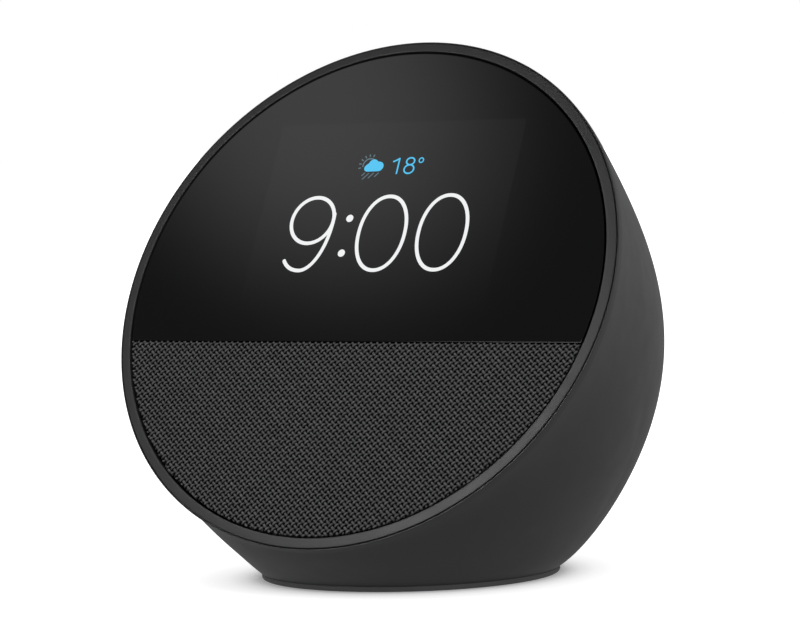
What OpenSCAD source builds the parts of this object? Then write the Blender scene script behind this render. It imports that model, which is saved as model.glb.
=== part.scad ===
// Bedside smart display: a round face that leans back, on a domed body with a low foot.
// Origin: centre of the foot on the surface it stands on. +Z is up and -Y is the front.

/* [Face] */
// Diameter of the round front, which is also the overall width
face_d = 113; // [110:0.5:116]
// Angle by which the face leans back from vertical
lean = 28.3; // [27.5:0.1:29]
// Height of the face's centre above the surface
face_z = 59.45; // [59:0.05:61]
// How far the face's centre lies in front of the foot's centre
face_forward = 16.4; // [16:0.1:17]
// Width of the bezel ring, with the groove and the housing's lip round it
bezel_w = 2.4; // [2.2:0.1:2.6]
// How far the ring's inner edge stands in front of its outer edge
bezel_rise = 0.35; // [0.3:0.05:0.4]
// Thickness of the ring's outer edge
bezel_t = 0.6; // [0.5:0.1:0.7]
// Gap round the glass and the cloth
face_gap = 0.5; // [0.4:0.05:0.6]
// Depth of the glass and the cloth below the ring's inner edge
face_recess = 0.05; // [0:0.05:0.1]
// Height of the line between glass and cloth, measured from the face's centre
split_v = -11.8; // [-12:0.1:-11.6]

/* [Body] */
// Radius of the foot
foot_r = 30.7; // [30.5:0.1:31]
// Height of the rubber foot
foot_h = 1.15; // [1:0.05:1.3]
// Wall thickness of the rear housing
wall = 2.2; // [2:0.1:2.4]
// Dome profile, upper control point, behind the foot's centre
dome_upper_y = 69.6; // [69:0.1:70]
// Dome profile, upper control point, height
dome_upper_z = 71.6; // [71:0.1:72]
// Dome profile, middle control point, behind the foot's centre
dome_middle_y = 71.9; // [71:0.1:72.5]
// Dome profile, middle control point, height
dome_middle_z = 46.7; // [46:0.1:47.5]
// Dome profile, lower control point, behind the foot's centre
dome_lower_y = 51.1; // [50.5:0.1:51.5]
// Dome profile, lower control point, height
dome_lower_z = 10.5; // [10:0.1:11]
// How much narrower than round the sections are, halfway from face to foot
waist = 0.121; // [0.11:0.001:0.13]
// How much of that narrowing is left out at the chin, so that the flanks run straight to the foot
chin_fullness = 0.5; // [0.4:0.05:0.6]

/* [Screen] */
// Width of the LCD module
lcd_w = 62; // [60:0.5:62]
// Height of the LCD module
lcd_h = 48; // [46:0.5:48]
// Height of the LCD module's centre above the face's centre
lcd_v = 16; // [15.9:0.05:16.1]

/* [Speaker] */
// Height of the speaker's centre, measured from the face's centre
speaker_v = -30; // [-30.2:0.1:-29.8]
// Radius of the speaker's flange
speaker_r = 21.5; // [21.3:0.1:21.5]

/* [Buttons] */
// Distance between button centres
button_pitch = 16; // [16:0.1:16.2]
// Radius of a button cap
button_r = 4.6; // [4.4:0.1:4.6]
// Clearance round a button cap
button_gap = 0.3; // [0.3:0.05:0.35]
// Height of a button cap above the housing
button_proud = 0.6; // [0.5:0.05:0.7]

/* [Inlet] */
// Radius of the well that the power plug goes into
inlet_r = 4.6; // [4.5:0.1:4.8]
// Height of the inlet above the surface
inlet_z = 24; // [23.8:0.1:24.2]
// Position of the well's floor behind the foot's centre
inlet_floor_y = 42; // [41.8:0.1:42.2]

/* [Hidden] */
$fn = 64;

charcoal = [0.17, 0.17, 0.18];
graphite = [0.22, 0.22, 0.23];
black_plastic = [0.08, 0.08, 0.09];
steel = [0.62, 0.63, 0.65];
board_green = [0.06, 0.25, 0.16];
flex_amber = [0.62, 0.38, 0.1];
silicone_grey = [0.55, 0.56, 0.58];

// A small overlap that keeps cuts and joins clean
eps = 0.05;
face_r = face_d / 2;
face_y = -face_forward;
sin_lean = sin(lean);
cos_lean = cos(lean);

// Front stack: depths along the face's normal, where 0 is the ring's outer edge and minus is inwards
front_w = bezel_rise - face_recess;
bezel_in_r = face_r - bezel_w;
insert_r = bezel_in_r - face_gap;
// The bezel ring sits in a seat in the housing's rim, whose thin lip stands round it
rim_w = -1.9;
lip_top_w = -0.15;
// The seat's floor lies a little behind the start of the loft
seat_w = rim_w - 0.12;
lip_t = 0.25;
ring_gap = 0.2;
ring_r = face_r - lip_t - ring_gap;
skirt_r = face_r - 0.9;
glass_t = 1.1;
glass_back_w = front_w - glass_t;
cloth_t = 1;
cloth_back_w = front_w - cloth_t;
grille_t = 1.9;
grille_back_w = cloth_back_w - grille_t;
frame_front_w = -2.7;
frame_back_w = -4.6;
frame_r = 53.2;
screw_head_w = -3.8;
lcd_t = 1.6;
backlight_t = 2.2;
lcd_back_w = glass_back_w - lcd_t;
backlight_back_w = lcd_back_w - backlight_t;
lcd_clear = 0.3;
// Middle of the light sensor, from the face's centre
sensor_spot = [12, 45.5, 0];

// Frame screws, as [distance from the face's centre, angle from +X]
frame_screw_spots = [[50, 20], [50, 160], [50, 200], [50, 340], [50.7, 61.4], [50.7, 118.6]];
post_r = 3.2;
low_post_len = 14;
top_post_len = 4.2;
// The posts under the top of the rim are short, because the dome's wall is close behind them
function post_len(spot) = spot[1] > 30 && spot[1] < 150 ? top_post_len : low_post_len;

// Speaker: radii and depths along the face's normal
flange_w = -6.0;
flange_t = 1.4;
flange_back_w = flange_w - flange_t;
surround_r = 19.6;
opening_r = 20.2;
cone_r = 16.3;
coil_r = 6.6;
neck_w = -12.5;
basket_foot_w = -16.8;
yoke_r = 13;
yoke_gap_r = 7.4;
yoke_floor_w = -23.4;
yoke_back_w = -25;
magnet_front_w = -18.6;
winding_front_w = -17.5;
winding_back_w = -20.5;
chamber_r = 24.5;
chamber_wall = 1.5;
chamber_back_w = -29;
chamber_floor_z = 6.2;
ear_r = 2.8;
// Fixing ears of the speaker chamber, as angles round the speaker's axis
ear_angles = [10, 170, 205, 335];
ear_reach = 26.2;

// Crown: where the row of buttons sits on the dome, as a fraction along its side profile
crown_t = 0.05;
sleeve_r = 6.1;
sleeve_low = -6.9;
cap_flange_r = 5.3;
cap_flange_top = -7.3;
cap_flange_low = -8.2;
dome_top = -8.5;
board_top = -10.7;
board_t = 1;
switch_h = 1.6;
travel_gap = 0.8;
mic_x = button_pitch / 2;
mic_port_r = 0.6;
button_board_screw_x = 8.4;
button_board_screw_y = 6.4;

// Main board, in the face's own directions
board_w = 74;
board_h = 40;
board_v = 15;
main_front_w = -12;
main_t = 1.6;
main_back_w = main_front_w - main_t;
board_hole_x = 34;
board_hole_v = 16;
can_h = 2.2;

// Base
base_plate_r = 27.8;
base_plate_top = 3.4;
ledge_low = 3.6;
ledge_top = 5.6;
ledge_in_r = 24;
base_screw_r = 25.6;
ballast_r = 23.4;
ballast_h = 10.5;
ballast_front_y = -6;
// Screw of the ballast, on the right, and the depth of the pockets for screw heads
ballast_screw_spot = [12, 6, 0];
head_pocket = 1.2;

// Power board
shelf_z = 17.3;
power_t = 1.2;
jack_back_y = 28;
// Screw of the power board, on the right
power_screw_spot = [10.5, 34.5, 0];

// ---- Body surface -------------------------------------------------------------------------

// Steps of the lofted surface, from the rim to the foot, and points on each ring
loft_count = 20;
ring_sides = 64;
// The straight stretch of the rim in front of the loft adds one
ring_count = loft_count + 1;

function mix(a, b, t) = a + (b - a) * t;
function bezier(p, t) = len(p) == 1 ? p[0]
    : bezier([for (i = [0:len(p) - 2]) mix(p[i], p[i + 1], t)], t);

// Side profile over the dome, from the top of the rim to the back of the foot, as [y, z]
dome_profile = [
    [face_y + face_r * sin_lean - rim_w * cos_lean, face_z + face_r * cos_lean + rim_w * sin_lean],
    [dome_upper_y, dome_upper_z],
    [dome_middle_y, dome_middle_z],
    [dome_lower_y, dome_lower_z],
    [foot_r, foot_h]
];
// Side profile under the chin, from the bottom of the rim to the front of the foot
chin_profile = [
    [face_y - face_r * sin_lean - rim_w * cos_lean, face_z - face_r * cos_lean + rim_w * sin_lean],
    [-foot_r, foot_h]
];

// One section: a circle across the body from chin to dome, a little narrower at half way
function section(t, inset) =
    let (back = bezier(dome_profile, t))
    let (front = bezier(chin_profile, t))
    let (middle = (back + front) / 2)
    let (across = (back - front) / norm(back - front))
    let (radius = norm(back - front) / 2)
    let (pinch = 4 * waist * t * (1 - t))
    [for (i = [0:ring_sides - 1])
        let (angle = 360 * i / ring_sides)
        let (squeeze = 1 - pinch * (1 - chin_fullness * max(0, -sin(angle))))
        let (reach = (radius - inset) * sin(angle))
        [(radius * squeeze - inset) * cos(angle),
            middle[0] + across[0] * reach,
            middle[1] + across[1] * reach]];
// The first ring of the rim, a plain circle in the face's own plane
function lip_ring(inset) =
    [for (i = [0:ring_sides - 1])
        let (angle = 360 * i / ring_sides)
        let (reach = (face_r - inset) * sin(angle))
        [(face_r - inset) * cos(angle),
            face_y + sin_lean * reach - cos_lean * lip_top_w,
            face_z + cos_lean * reach + sin_lean * lip_top_w]];
function body_points(inset) = concat(
    lip_ring(inset),
    [for (i = [0:loft_count]) each section(pow(i / loft_count, 1.25), inset)]);
// Two triangles for each cell between neighbouring rings; flip turns them inside out
function skin(start, flip) =
    [for (i = [0:ring_count - 1], j = [0:ring_sides - 1])
        let (a = start + i * ring_sides + j)
        let (b = start + i * ring_sides + (j + 1) % ring_sides)
        let (c = a + ring_sides)
        let (d = b + ring_sides)
        each (flip ? [[a, c, b], [b, c, d]] : [[a, b, c], [b, d, c]])];
// The flat ring of cells that joins ring a to ring b
function annulus(a, b) =
    [for (j = [0:ring_sides - 1])
        let (k = (j + 1) % ring_sides)
        each [[a + j, b + j, a + k], [a + k, b + j, b + k]]];

module body_solid(inset) {
    last = ring_count * ring_sides;
    polyhedron(
        points = body_points(inset),
        faces = concat(
            skin(0, false),
            [[for (j = [ring_sides - 1:-1:0]) j]],
            [[for (j = [0:ring_sides - 1]) last + j]]));
}

module shell() {
    last = ring_count * ring_sides;
    inner = last + ring_sides;
    polyhedron(
        points = concat(body_points(0), body_points(wall)),
        faces = concat(
            skin(0, false),
            skin(inner, true),
            annulus(0, inner),
            annulus(inner + last, last)));
}

// Crown frame: origin on the dome, z along its outward normal, x across
crown_spot = bezier(dome_profile, crown_t);
crown_ahead = bezier(dome_profile, crown_t + 0.01) - bezier(dome_profile, crown_t - 0.01);
crown_tilt = atan2(-crown_ahead[1], crown_ahead[0]);
// Radius of the dome across the crown
crown_r = 53.7;

module on_face(w = 0) {
    translate([0, face_y, face_z])
        rotate([90 - lean, 0, 0])
            translate([0, 0, w])
                children();
}
module on_speaker(w = 0) {
    on_face(w)
        translate([0, speaker_v, 0])
            children();
}
module on_crown() {
    translate([0, crown_spot[0], crown_spot[1]])
        rotate([-crown_tilt, 0, 0])
            children();
}
module at_polar(spot) {
    rotate([0, 0, spot[1]])
        translate([spot[0], 0, 0])
            children();
}
module mirror_x() {
    children();
    mirror([1, 0, 0])
        children();
}
// A plain cylinder from height a to height b
module span(r, a, b) {
    translate([0, 0, min(a, b)])
        cylinder(r = r, h = abs(b - a));
}
// A box given by its width and its lowest and highest y and z
module slab(width, y, z) {
    translate([-width / 2, y[0], z[0]])
        cube([width, y[1] - y[0], z[1] - z[0]]);
}
module rod(a, b, r) {
    d = b - a;
    translate(a)
        rotate([0, acos(d[2] / norm(d)), atan2(d[1], d[0])])
            cylinder(r = r, h = norm(d));
}
// A wire through a list of points, with a slightly thicker round bend at each inner point
module wire(points, r) {
    for (i = [0:len(points) - 2])
        rod(points[i], points[i + 1], r);
    for (i = [1:len(points) - 2])
        translate(points[i])
            sphere(r = r * 1.08);
}
module screw(r, length, head_r, head_h) {
    span(r, -length, eps);
    difference() {
        span(head_r, 0, head_h);
        translate([0, 0, head_h / 2])
            cylinder(r = head_r * 0.45, h = head_h, $fn = 6);
    }
}
// The part of a disc between two heights
module face_segment(r, low, high) {
    intersection() {
        circle(r = r);
        translate([-r, low])
            square([2 * r, high - low]);
    }
}

// ---- Housing and front --------------------------------------------------------------------

module housing_bosses() {
    // Posts for the mid frame
    on_face(frame_back_w)
        for (spot = frame_screw_spots)
            at_polar(spot)
                span(post_r, -post_len(spot), 0);
    // Guide sleeves for the buttons, under the dome
    on_crown()
        intersection() {
            for (i = [-1:1])
                translate([i * button_pitch, 0, 0])
                    span(sleeve_r, sleeve_low, 2);
            translate([0, 0, -crown_r])
                rotate([90, 0, 0])
                    cylinder(r = crown_r - wall / 2, h = 4 * sleeve_r, center = true, $fn = 128);
        }
    // Pillars for the button board
    on_crown()
        for (x = [-1, 1], y = [-1, 1])
            translate([x * button_board_screw_x, y * button_board_screw_y, 0])
                span(1.8, board_top, 0);
    // Boss round the inlet well
    translate([0, inlet_floor_y - 2, inlet_z])
        rotate([-90, 0, 0])
            cylinder(r = inlet_r + wall, h = 20);
    // Shelves for the power board
    mirror_x()
        translate([8, 32, shelf_z - 2.8])
            cube([5, 24, 2.8]);
    // Ledge for the base plate's screws
    translate([0, 0, ledge_low])
        difference() {
            cylinder(r = foot_r + 8, h = ledge_top - ledge_low);
            cylinder(r = ledge_in_r, h = 3 * ledge_top, center = true);
        }
    // Pads for the antennas
    mirror_x()
        translate([43.4, 2, 60])
            cube([12, 4, 12]);
}

module housing_bores() {
    // Seat of the bezel ring, turned a little so that its seam misses the facets' corners
    on_face()
        rotate([0, 0, 2]) {
            span(skirt_r + 0.1, seat_w, 1);
            span(ring_r + ring_gap, -bezel_t - ring_gap, 1);
        }
    on_face(frame_back_w)
        for (spot = frame_screw_spots)
            at_polar(spot)
                span(0.9, -min(post_len(spot) - 1, 8), eps);
    on_crown() {
        for (i = [-1:1])
            translate([i * button_pitch, 0, 0])
                span(button_r + button_gap, sleeve_low - 1, 3);
        for (x = [-mic_x, mic_x])
            translate([x, 0, 0])
                span(mic_port_r, -6, 3);
        for (x = [-1, 1], y = [-1, 1])
            translate([x * button_board_screw_x, y * button_board_screw_y, 0])
                span(0.6, board_top - eps, board_top + 4);
    }
    translate([0, inlet_floor_y, inlet_z])
        rotate([-90, 0, 0])
            cylinder(r = inlet_r, h = 20);
    translate([0, inlet_floor_y, inlet_z])
        rotate([-90, 0, 0])
            cylinder(r = 3.6, h = 20, center = true);
    for (a = [45:90:315])
        at_polar([base_screw_r, a])
            span(1.05, 0, ledge_top + eps);
    mirror_x()
        translate(power_screw_spot)
            span(0.8, shelf_z - 4, shelf_z + eps);
}

module rear_housing() {
    color(charcoal)
        difference() {
            union() {
                shell();
                intersection() {
                    body_solid(wall / 2);
                    housing_bosses();
                }
            }
            housing_bores();
        }
}

module front_bezel() {
    edge = 0.1;
    chamfer = 0.3;
    color(graphite)
        on_face()
            rotate_extrude($fn = 128)
                polygon([
                    [bezel_in_r, bezel_rise],
                    [ring_r - edge, 0],
                    [ring_r, -edge],
                    [ring_r, -bezel_t],
                    [skirt_r, -bezel_t],
                    [skirt_r, seat_w],
                    [bezel_in_r + chamfer, seat_w],
                    [bezel_in_r, seat_w + chamfer]
                ]);
}

module cover_glass() {
    color([0.03, 0.03, 0.035])
        on_face(glass_back_w)
            linear_extrude(glass_t)
                face_segment(insert_r, split_v + 0.1, insert_r);
}

module speaker_cloth() {
    color([0.14, 0.14, 0.15])
        on_face(cloth_back_w)
            linear_extrude(cloth_t)
                face_segment(insert_r, -insert_r, split_v - 0.05);
}

module grille_plate() {
    pitch = 3;
    rows = 7;
    hole_r = 0.9;
    color(black_plastic)
        on_face(grille_back_w)
            linear_extrude(grille_t)
                difference() {
                    face_segment(insert_r, -insert_r, split_v - 0.05);
                    translate([0, speaker_v - 1])
                        for (i = [-rows:rows], j = [-rows:rows]) {
                            x = (i + (abs(j) % 2) / 2) * pitch;
                            y = j * pitch * sin(60);
                            if (norm([x, y]) < 18.5 && y < 17)
                                translate([x, y])
                                    circle(r = hole_r);
                        }
                }
}

module mid_frame() {
    color(black_plastic)
        on_face()
            difference() {
                union() {
                    span(frame_r, frame_back_w, frame_front_w);
                    translate([0, 0, frame_front_w - eps])
                        linear_extrude(glass_back_w - frame_front_w + eps)
                            face_segment(insert_r, split_v + 0.5, insert_r);
                    // Posts that carry the main board
                    for (x = [-1, 1], v = [-1, 1])
                        translate([x * board_hole_x, board_v + v * board_hole_v, 0])
                            span(2.4, main_front_w, frame_front_w);
                    // Posts that carry the speaker chamber
                    for (a = ear_angles)
                        translate([0, speaker_v, 0])
                            at_polar([ear_reach, a])
                                span(2.3, flange_back_w, frame_front_w);
                }
                translate([0, lcd_v, 0])
                    cube([lcd_w + 2 * lcd_clear, lcd_h + 2 * lcd_clear, 30], center = true);
                translate([0, speaker_v, 0])
                    span(opening_r, frame_back_w - 1, 0);
                for (spot = frame_screw_spots)
                    at_polar(spot) {
                        span(2.3, screw_head_w, 0);
                        span(1.1, frame_back_w - 1, 0);
                    }
                for (x = [-1, 1], v = [-1, 1])
                    translate([x * board_hole_x, board_v + v * board_hole_v, 0])
                        span(0.9, main_front_w - eps, main_front_w + 5);
                for (a = ear_angles)
                    translate([0, speaker_v, 0])
                        at_polar([ear_reach, a])
                            span(0.9, flange_back_w - eps, flange_back_w + 3);
                // Well of the light sensor
                translate(sensor_spot)
                    cube([4.6, 4, 2 * -frame_front_w], center = true);
            }
}

module lcd_panel() {
    color([0.02, 0.02, 0.03])
        on_face(lcd_back_w)
            translate([-lcd_w / 2, lcd_v - lcd_h / 2, 0])
                cube([lcd_w, lcd_h, lcd_t]);
}

module backlight_unit() {
    inset = 1.2;
    color([0.85, 0.86, 0.88])
        on_face(backlight_back_w)
            difference() {
                translate([-lcd_w / 2, lcd_v - lcd_h / 2, 0])
                    cube([lcd_w, lcd_h, backlight_t]);
                // Shallow pan pressed into the back of its metal tray
                translate([-lcd_w / 2 + 3, lcd_v - lcd_h / 2 + 9, -1])
                    cube([lcd_w - 6, lcd_h - 9 - 2 * inset, 1.4]);
            }
}

module display_flex() {
    tail_w = backlight_back_w - 0.3;
    color(flex_amber)
        on_face() {
            slab(16, [-7.8, -3], [tail_w, backlight_back_w]);
            slab(16, [-3.3, -3], [main_front_w + 1.4, tail_w + eps]);
        }
}

module light_sensor() {
    color([0.3, 0.3, 0.32])
        on_face()
            translate(sensor_spot + [0, 0, glass_back_w - 0.6]) {
                cube([4, 3.4, 0.4], center = true);
                translate([0, 0, 0.35])
                    cube([2, 1.8, 0.4], center = true);
            }
}

module frame_screws() {
    color(steel)
        on_face(screw_head_w)
            for (spot = frame_screw_spots)
                at_polar(spot)
                    screw(0.85, min(post_len(spot) - 0.6, 7), 2, 1);
}

// ---- Speaker ------------------------------------------------------------------------------

module speaker_gasket() {
    color(silicone_grey)
        on_speaker()
            difference() {
                span(speaker_r, flange_w, frame_back_w);
                span(opening_r + 0.1, flange_w - 1, 0);
            }
}

module speaker_basket() {
    color(black_plastic)
        on_speaker()
            difference() {
                rotate_extrude()
                    polygon([
                        [surround_r, flange_w],
                        [speaker_r, flange_w],
                        [speaker_r, flange_back_w],
                        [surround_r + 1.2, flange_back_w],
                        [14.2, basket_foot_w + 1.4],
                        [14.2, basket_foot_w],
                        [12.4, basket_foot_w],
                        [12.4, basket_foot_w + 2.2],
                        [surround_r, flange_back_w + 0.6]
                    ]);
                // Windows between the basket's arms
                for (a = [0:60:300])
                    rotate([0, 0, a])
                        translate([17, 0, -11.5])
                            rotate([0, 90, 0])
                                cylinder(r = 2.6, h = 12, center = true);
            }
}

module speaker_surround() {
    cone_gap = 0.3;
    roll_r = (surround_r - cone_r - cone_gap) / 2;
    roll_t = 0.5;
    color([0.1, 0.1, 0.1])
        on_speaker(flange_w - 0.2)
            rotate_extrude()
                translate([cone_r + cone_gap + roll_r, 0])
                    intersection() {
                        difference() {
                            circle(r = roll_r, $fn = 32);
                            circle(r = roll_r - roll_t, $fn = 32);
                        }
                        translate([-roll_r, 0])
                            square([2 * roll_r, roll_r]);
                    }
}

module speaker_cone() {
    paper = 0.4;
    color([0.16, 0.16, 0.17])
        on_speaker()
            rotate_extrude()
                polygon([
                    [cone_r, flange_w - 0.3],
                    [cone_r, flange_w - 0.3 - paper],
                    [coil_r, neck_w],
                    [coil_r, neck_w + paper + 0.3],
                    [cone_r - 0.6, flange_w - 0.3]
                ]);
}

module dust_cap() {
    cap_r = 9;
    cap_w = -8.6;
    color([0.09, 0.09, 0.1])
        on_speaker()
            intersection() {
                translate([0, 0, cap_w - cap_r])
                    difference() {
                        sphere(r = cap_r);
                        sphere(r = cap_r - 0.4);
                    }
                span(coil_r + 0.3, neck_w + 0.95, 0);
            }
}

module voice_coil() {
    color([0.72, 0.4, 0.2])
        on_speaker()
            rotate_extrude()
                polygon([
                    [coil_r - 0.25, neck_w],
                    [coil_r, neck_w],
                    [coil_r, winding_front_w],
                    [coil_r + 0.4, winding_front_w],
                    [coil_r + 0.4, winding_back_w],
                    [coil_r - 0.25, winding_back_w]
                ]);
}

module speaker_spider() {
    color([0.7, 0.55, 0.25])
        on_speaker(basket_foot_w + 2.2)
            rotate_extrude()
                difference() {
                    translate([coil_r + 0.3, 0])
                        square([5.3, 0.7]);
                    for (i = [0:2])
                        translate([coil_r + 1.4 + i * 1.6, i % 2 == 0 ? 0 : 0.7])
                            circle(r = 0.45, $fn = 24);
                }
}

module speaker_yoke() {
    color(steel)
        on_speaker()
            difference() {
                span(yoke_r, yoke_back_w, basket_foot_w);
                span(yoke_gap_r, yoke_floor_w, 0);
            }
}

module speaker_magnet() {
    color([0.4, 0.41, 0.43])
        on_speaker()
            span(5.5, yoke_floor_w, magnet_front_w);
}

module pole_plate() {
    color(steel)
        on_speaker()
            span(5.9, magnet_front_w, basket_foot_w - 0.1);
}

// The space above a level, as a large block
module above(z) {
    translate([-50, -60, z])
        cube([100, 120, 100]);
}

module speaker_chamber() {
    inner_r = chamber_r - chamber_wall;
    mouth_r = 20.9;
    ear_t = 1.6;
    color(black_plastic)
        difference() {
            union() {
                // Cup behind the speaker, cut flat where it passes over the base
                intersection() {
                    on_speaker()
                        rotate_extrude($fn = 96)
                            polygon([
                                [mouth_r, flange_back_w],
                                [chamber_r, flange_back_w],
                                [chamber_r, chamber_back_w],
                                [0, chamber_back_w],
                                [0, chamber_back_w + chamber_wall],
                                [inner_r, chamber_back_w + chamber_wall],
                                [inner_r, flange_back_w - ear_t],
                                [mouth_r, flange_back_w - ear_t]
                            ]);
                    above(chamber_floor_z);
                }
                // Floor of the flat
                intersection() {
                    on_speaker()
                        span(inner_r + 0.4, chamber_back_w + 0.4, flange_back_w - 0.4);
                    above(chamber_floor_z);
                    translate([-50, -60, chamber_floor_z - 1])
                        cube([100, 120, 1 + chamber_wall]);
                }
                on_speaker()
                    for (a = ear_angles)
                        at_polar([ear_reach, a])
                            span(ear_r, flange_back_w - ear_t, flange_back_w);
            }
            on_speaker()
                for (a = ear_angles)
                    at_polar([ear_reach, a])
                        span(1.1, flange_back_w - 3, 0);
            // Grommet hole for the speaker's leads
            on_face(-11)
                translate([14, -14, 0])
                    rotate([-90, 0, 0])
                        cylinder(r = 1.6, h = 8);
        }
}

module chamber_screws() {
    color(steel)
        on_speaker(flange_back_w - 1.6)
            for (a = ear_angles)
                at_polar([ear_reach, a])
                    mirror([0, 0, 1])
                        screw(0.85, 4.2, 1.6, 1.2);
}

module speaker_leads() {
    color([0.6, 0.1, 0.1])
        on_face(-11)
            for (x = [13.4, 14.6])
                rod([x, -16.5, 0], [x, -5.5, 0], 0.45);
}

// ---- Buttons and microphones --------------------------------------------------------------

module button_cap(x) {
    translate([x, 0, 0])
        span(cap_flange_r, cap_flange_low, cap_flange_top);
    translate([x, 0, 0])
        span(1.5, board_top + switch_h + travel_gap, cap_flange_low + eps);
    intersection() {
        translate([x, 0, 0])
            span(button_r, cap_flange_top - eps, 3);
        translate([0, 0, -crown_r])
            rotate([90, 0, 0])
                cylinder(r = crown_r + button_proud, h = 4 * button_r, center = true, $fn = 128);
    }
}
// Flat marks raised on a cap: a bar, with a second bar across it for volume up
module button_mark(x, length, width, turn) {
    intersection() {
        translate([x, 0, 0])
            rotate([0, 0, turn])
                translate([-length / 2, -width / 2, -5])
                    cube([length, width, 8]);
        translate([0, 0, -crown_r])
            rotate([90, 0, 0])
                cylinder(r = crown_r + button_proud + 0.15, h = 4 * button_r, center = true,
                    $fn = 128);
    }
}

module volume_down_button() {
    color(graphite)
        on_crown() {
            button_cap(-button_pitch);
            button_mark(-button_pitch, 3, 0.5, 0);
        }
}

module mic_mute_button() {
    color(graphite)
        on_crown() {
            button_cap(0);
            button_mark(0, 3.6, 0.5, 45);
        }
}

module volume_up_button() {
    color(graphite)
        on_crown() {
            button_cap(button_pitch);
            button_mark(button_pitch, 3, 0.5, 0);
            button_mark(button_pitch, 3, 0.5, 90);
        }
}

module return_dome(x) {
    color(silicone_grey)
        on_crown()
            translate([x, 0, 0])
                rotate_extrude()
                    polygon([
                        [3.6, board_top],
                        [4.2, board_top],
                        [3.2, dome_top],
                        [2.0, dome_top],
                        [2.0, dome_top - 0.5],
                        [2.8, dome_top - 0.5]
                    ]);
}

module volume_down_dome() {
    return_dome(-button_pitch);
}

module mic_mute_dome() {
    return_dome(0);
}

module volume_up_dome() {
    return_dome(button_pitch);
}

module tact_switches() {
    color(steel)
        on_crown()
            for (i = [-1:1])
                translate([i * button_pitch, 0, board_top]) {
                    slab(3.4, [-1.7, 1.7], [0, switch_h - 0.5]);
                    span(0.9, 0, switch_h);
                }
}

module button_board() {
    half_w = button_pitch + 4.5;
    half_d = 8.2;
    color(board_green)
        on_crown()
            difference() {
                slab(2 * half_w, [-half_d, half_d], [board_top - board_t, board_top]);
                for (x = [-1, 1], y = [-1, 1])
                    translate([x * button_board_screw_x, y * button_board_screw_y, 0])
                        span(0.8, board_top - 3, board_top + 1);
                // Corners cut back to clear the housing's posts
                for (x = [-1, 1], y = [-1, 1])
                    translate([x * half_w, y * half_d, board_top])
                        cube([9, 5, 6], center = true);
            }
}

module button_board_screws() {
    color(steel)
        on_crown()
            for (x = [-1, 1], y = [-1, 1])
                translate([x * button_board_screw_x, y * button_board_screw_y,
                    board_top - board_t])
                    mirror([0, 0, 1])
                        screw(0.55, 4, 1.4, 0.8);
}

module button_flex() {
    flex_t = 0.3;
    step_v = 36.5;
    upper_w = -14.4;
    color(flex_amber)
        on_face() {
            slab(8, [step_v, 43.3], [upper_w, upper_w + flex_t]);
            slab(8, [32, step_v + flex_t], [main_back_w - flex_t, main_back_w]);
            slab(8, [step_v, step_v + flex_t], [upper_w, main_back_w]);
        }
}

module microphones() {
    color([0.75, 0.72, 0.55])
        on_crown()
            for (x = [-mic_x, mic_x])
                translate([x, 0, board_top])
                    difference() {
                        slab(2.7, [-1.8, 1.8], [0, 1]);
                        span(0.3, 0.5, 2);
                    }
}

module mic_gaskets() {
    color(silicone_grey)
        on_crown()
            for (x = [-mic_x, mic_x])
                translate([x, 0, 0])
                    difference() {
                        span(1.4, board_top + 1, -3.4);
                        span(mic_port_r + 0.1, board_top, 0);
                    }
}

module mic_mesh() {
    color([0.3, 0.3, 0.3])
        on_crown()
            for (x = [-mic_x, mic_x])
                translate([x, 0, 0])
                    span(1.4, -3.4, -3.2);
}

// ---- Electronics --------------------------------------------------------------------------

module main_board() {
    color(board_green)
        on_face(main_back_w)
            difference() {
                translate([-board_w / 2, board_v - board_h / 2, 0])
                    cube([board_w, board_h, main_t]);
                for (x = [-1, 1], v = [-1, 1])
                    translate([x * board_hole_x, board_v + v * board_hole_v, -1])
                        cylinder(r = 1.1, h = main_t + 2);
            }
}

module board_connectors() {
    color([0.85, 0.83, 0.75])
        on_face() {
            slab(17, [-4.6, -0.6], [main_front_w, main_front_w + 1.4]);
            translate([14, -3.2, 0])
                slab(5, [-2.3, 1.5], [main_front_w, main_front_w + 2.2]);
            translate([-20, 0, 0])
                slab(6, [-3, 1], [main_back_w - 2, main_back_w]);
        }
}

module shield_cans() {
    color(steel)
        on_face()
            for (can = [[-16, 18, 26, 24], [17, 20, 22, 18]])
                translate([can[0], can[1], main_back_w - can_h])
                    difference() {
                        translate([-can[2] / 2, -can[3] / 2, 0])
                            cube([can[2], can[3], can_h]);
                        translate([-can[2] / 2 + 0.3, -can[3] / 2 + 0.3, 0.3])
                            cube([can[2] - 0.6, can[3] - 0.6, can_h]);
                    }
}

module thermal_pad() {
    color([0.75, 0.78, 0.85])
        on_face(main_back_w - can_h - 1)
            translate([-26, 9, 0])
                cube([20, 18, 1]);
}

module heat_sink() {
    plate_back_w = main_back_w - can_h - 2.5;
    color([0.7, 0.71, 0.73])
        on_face() {
            translate([-30, 2, plate_back_w])
                cube([58, 30, 1.5]);
            for (i = [0:9])
                translate([-28 + i * 6, 3, plate_back_w - 6])
                    cube([1.2, 28, 6 + eps]);
        }
}

module board_screws() {
    color(steel)
        on_face(main_back_w)
            for (x = [-1, 1], v = [-1, 1])
                translate([x * board_hole_x, board_v + v * board_hole_v, 0])
                    mirror([0, 0, 1])
                        screw(0.85, 6, 2, 1.2);
}

module antenna(side) {
    color([0.12, 0.3, 0.5])
        translate([side * 43, 5.6, 66])
            cube([0.8, 20, 8], center = true);
}

module antenna_left() {
    antenna(-1);
}

module antenna_right() {
    antenna(1);
}

module antenna_leads() {
    start = [42.1, 3, 66];
    mid = [39.5, 0.5, 66];
    color([0.1, 0.1, 0.1])
        mirror_x()
            wire([start, mid, [36, -1.2, 66]], 0.5);
}

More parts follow.
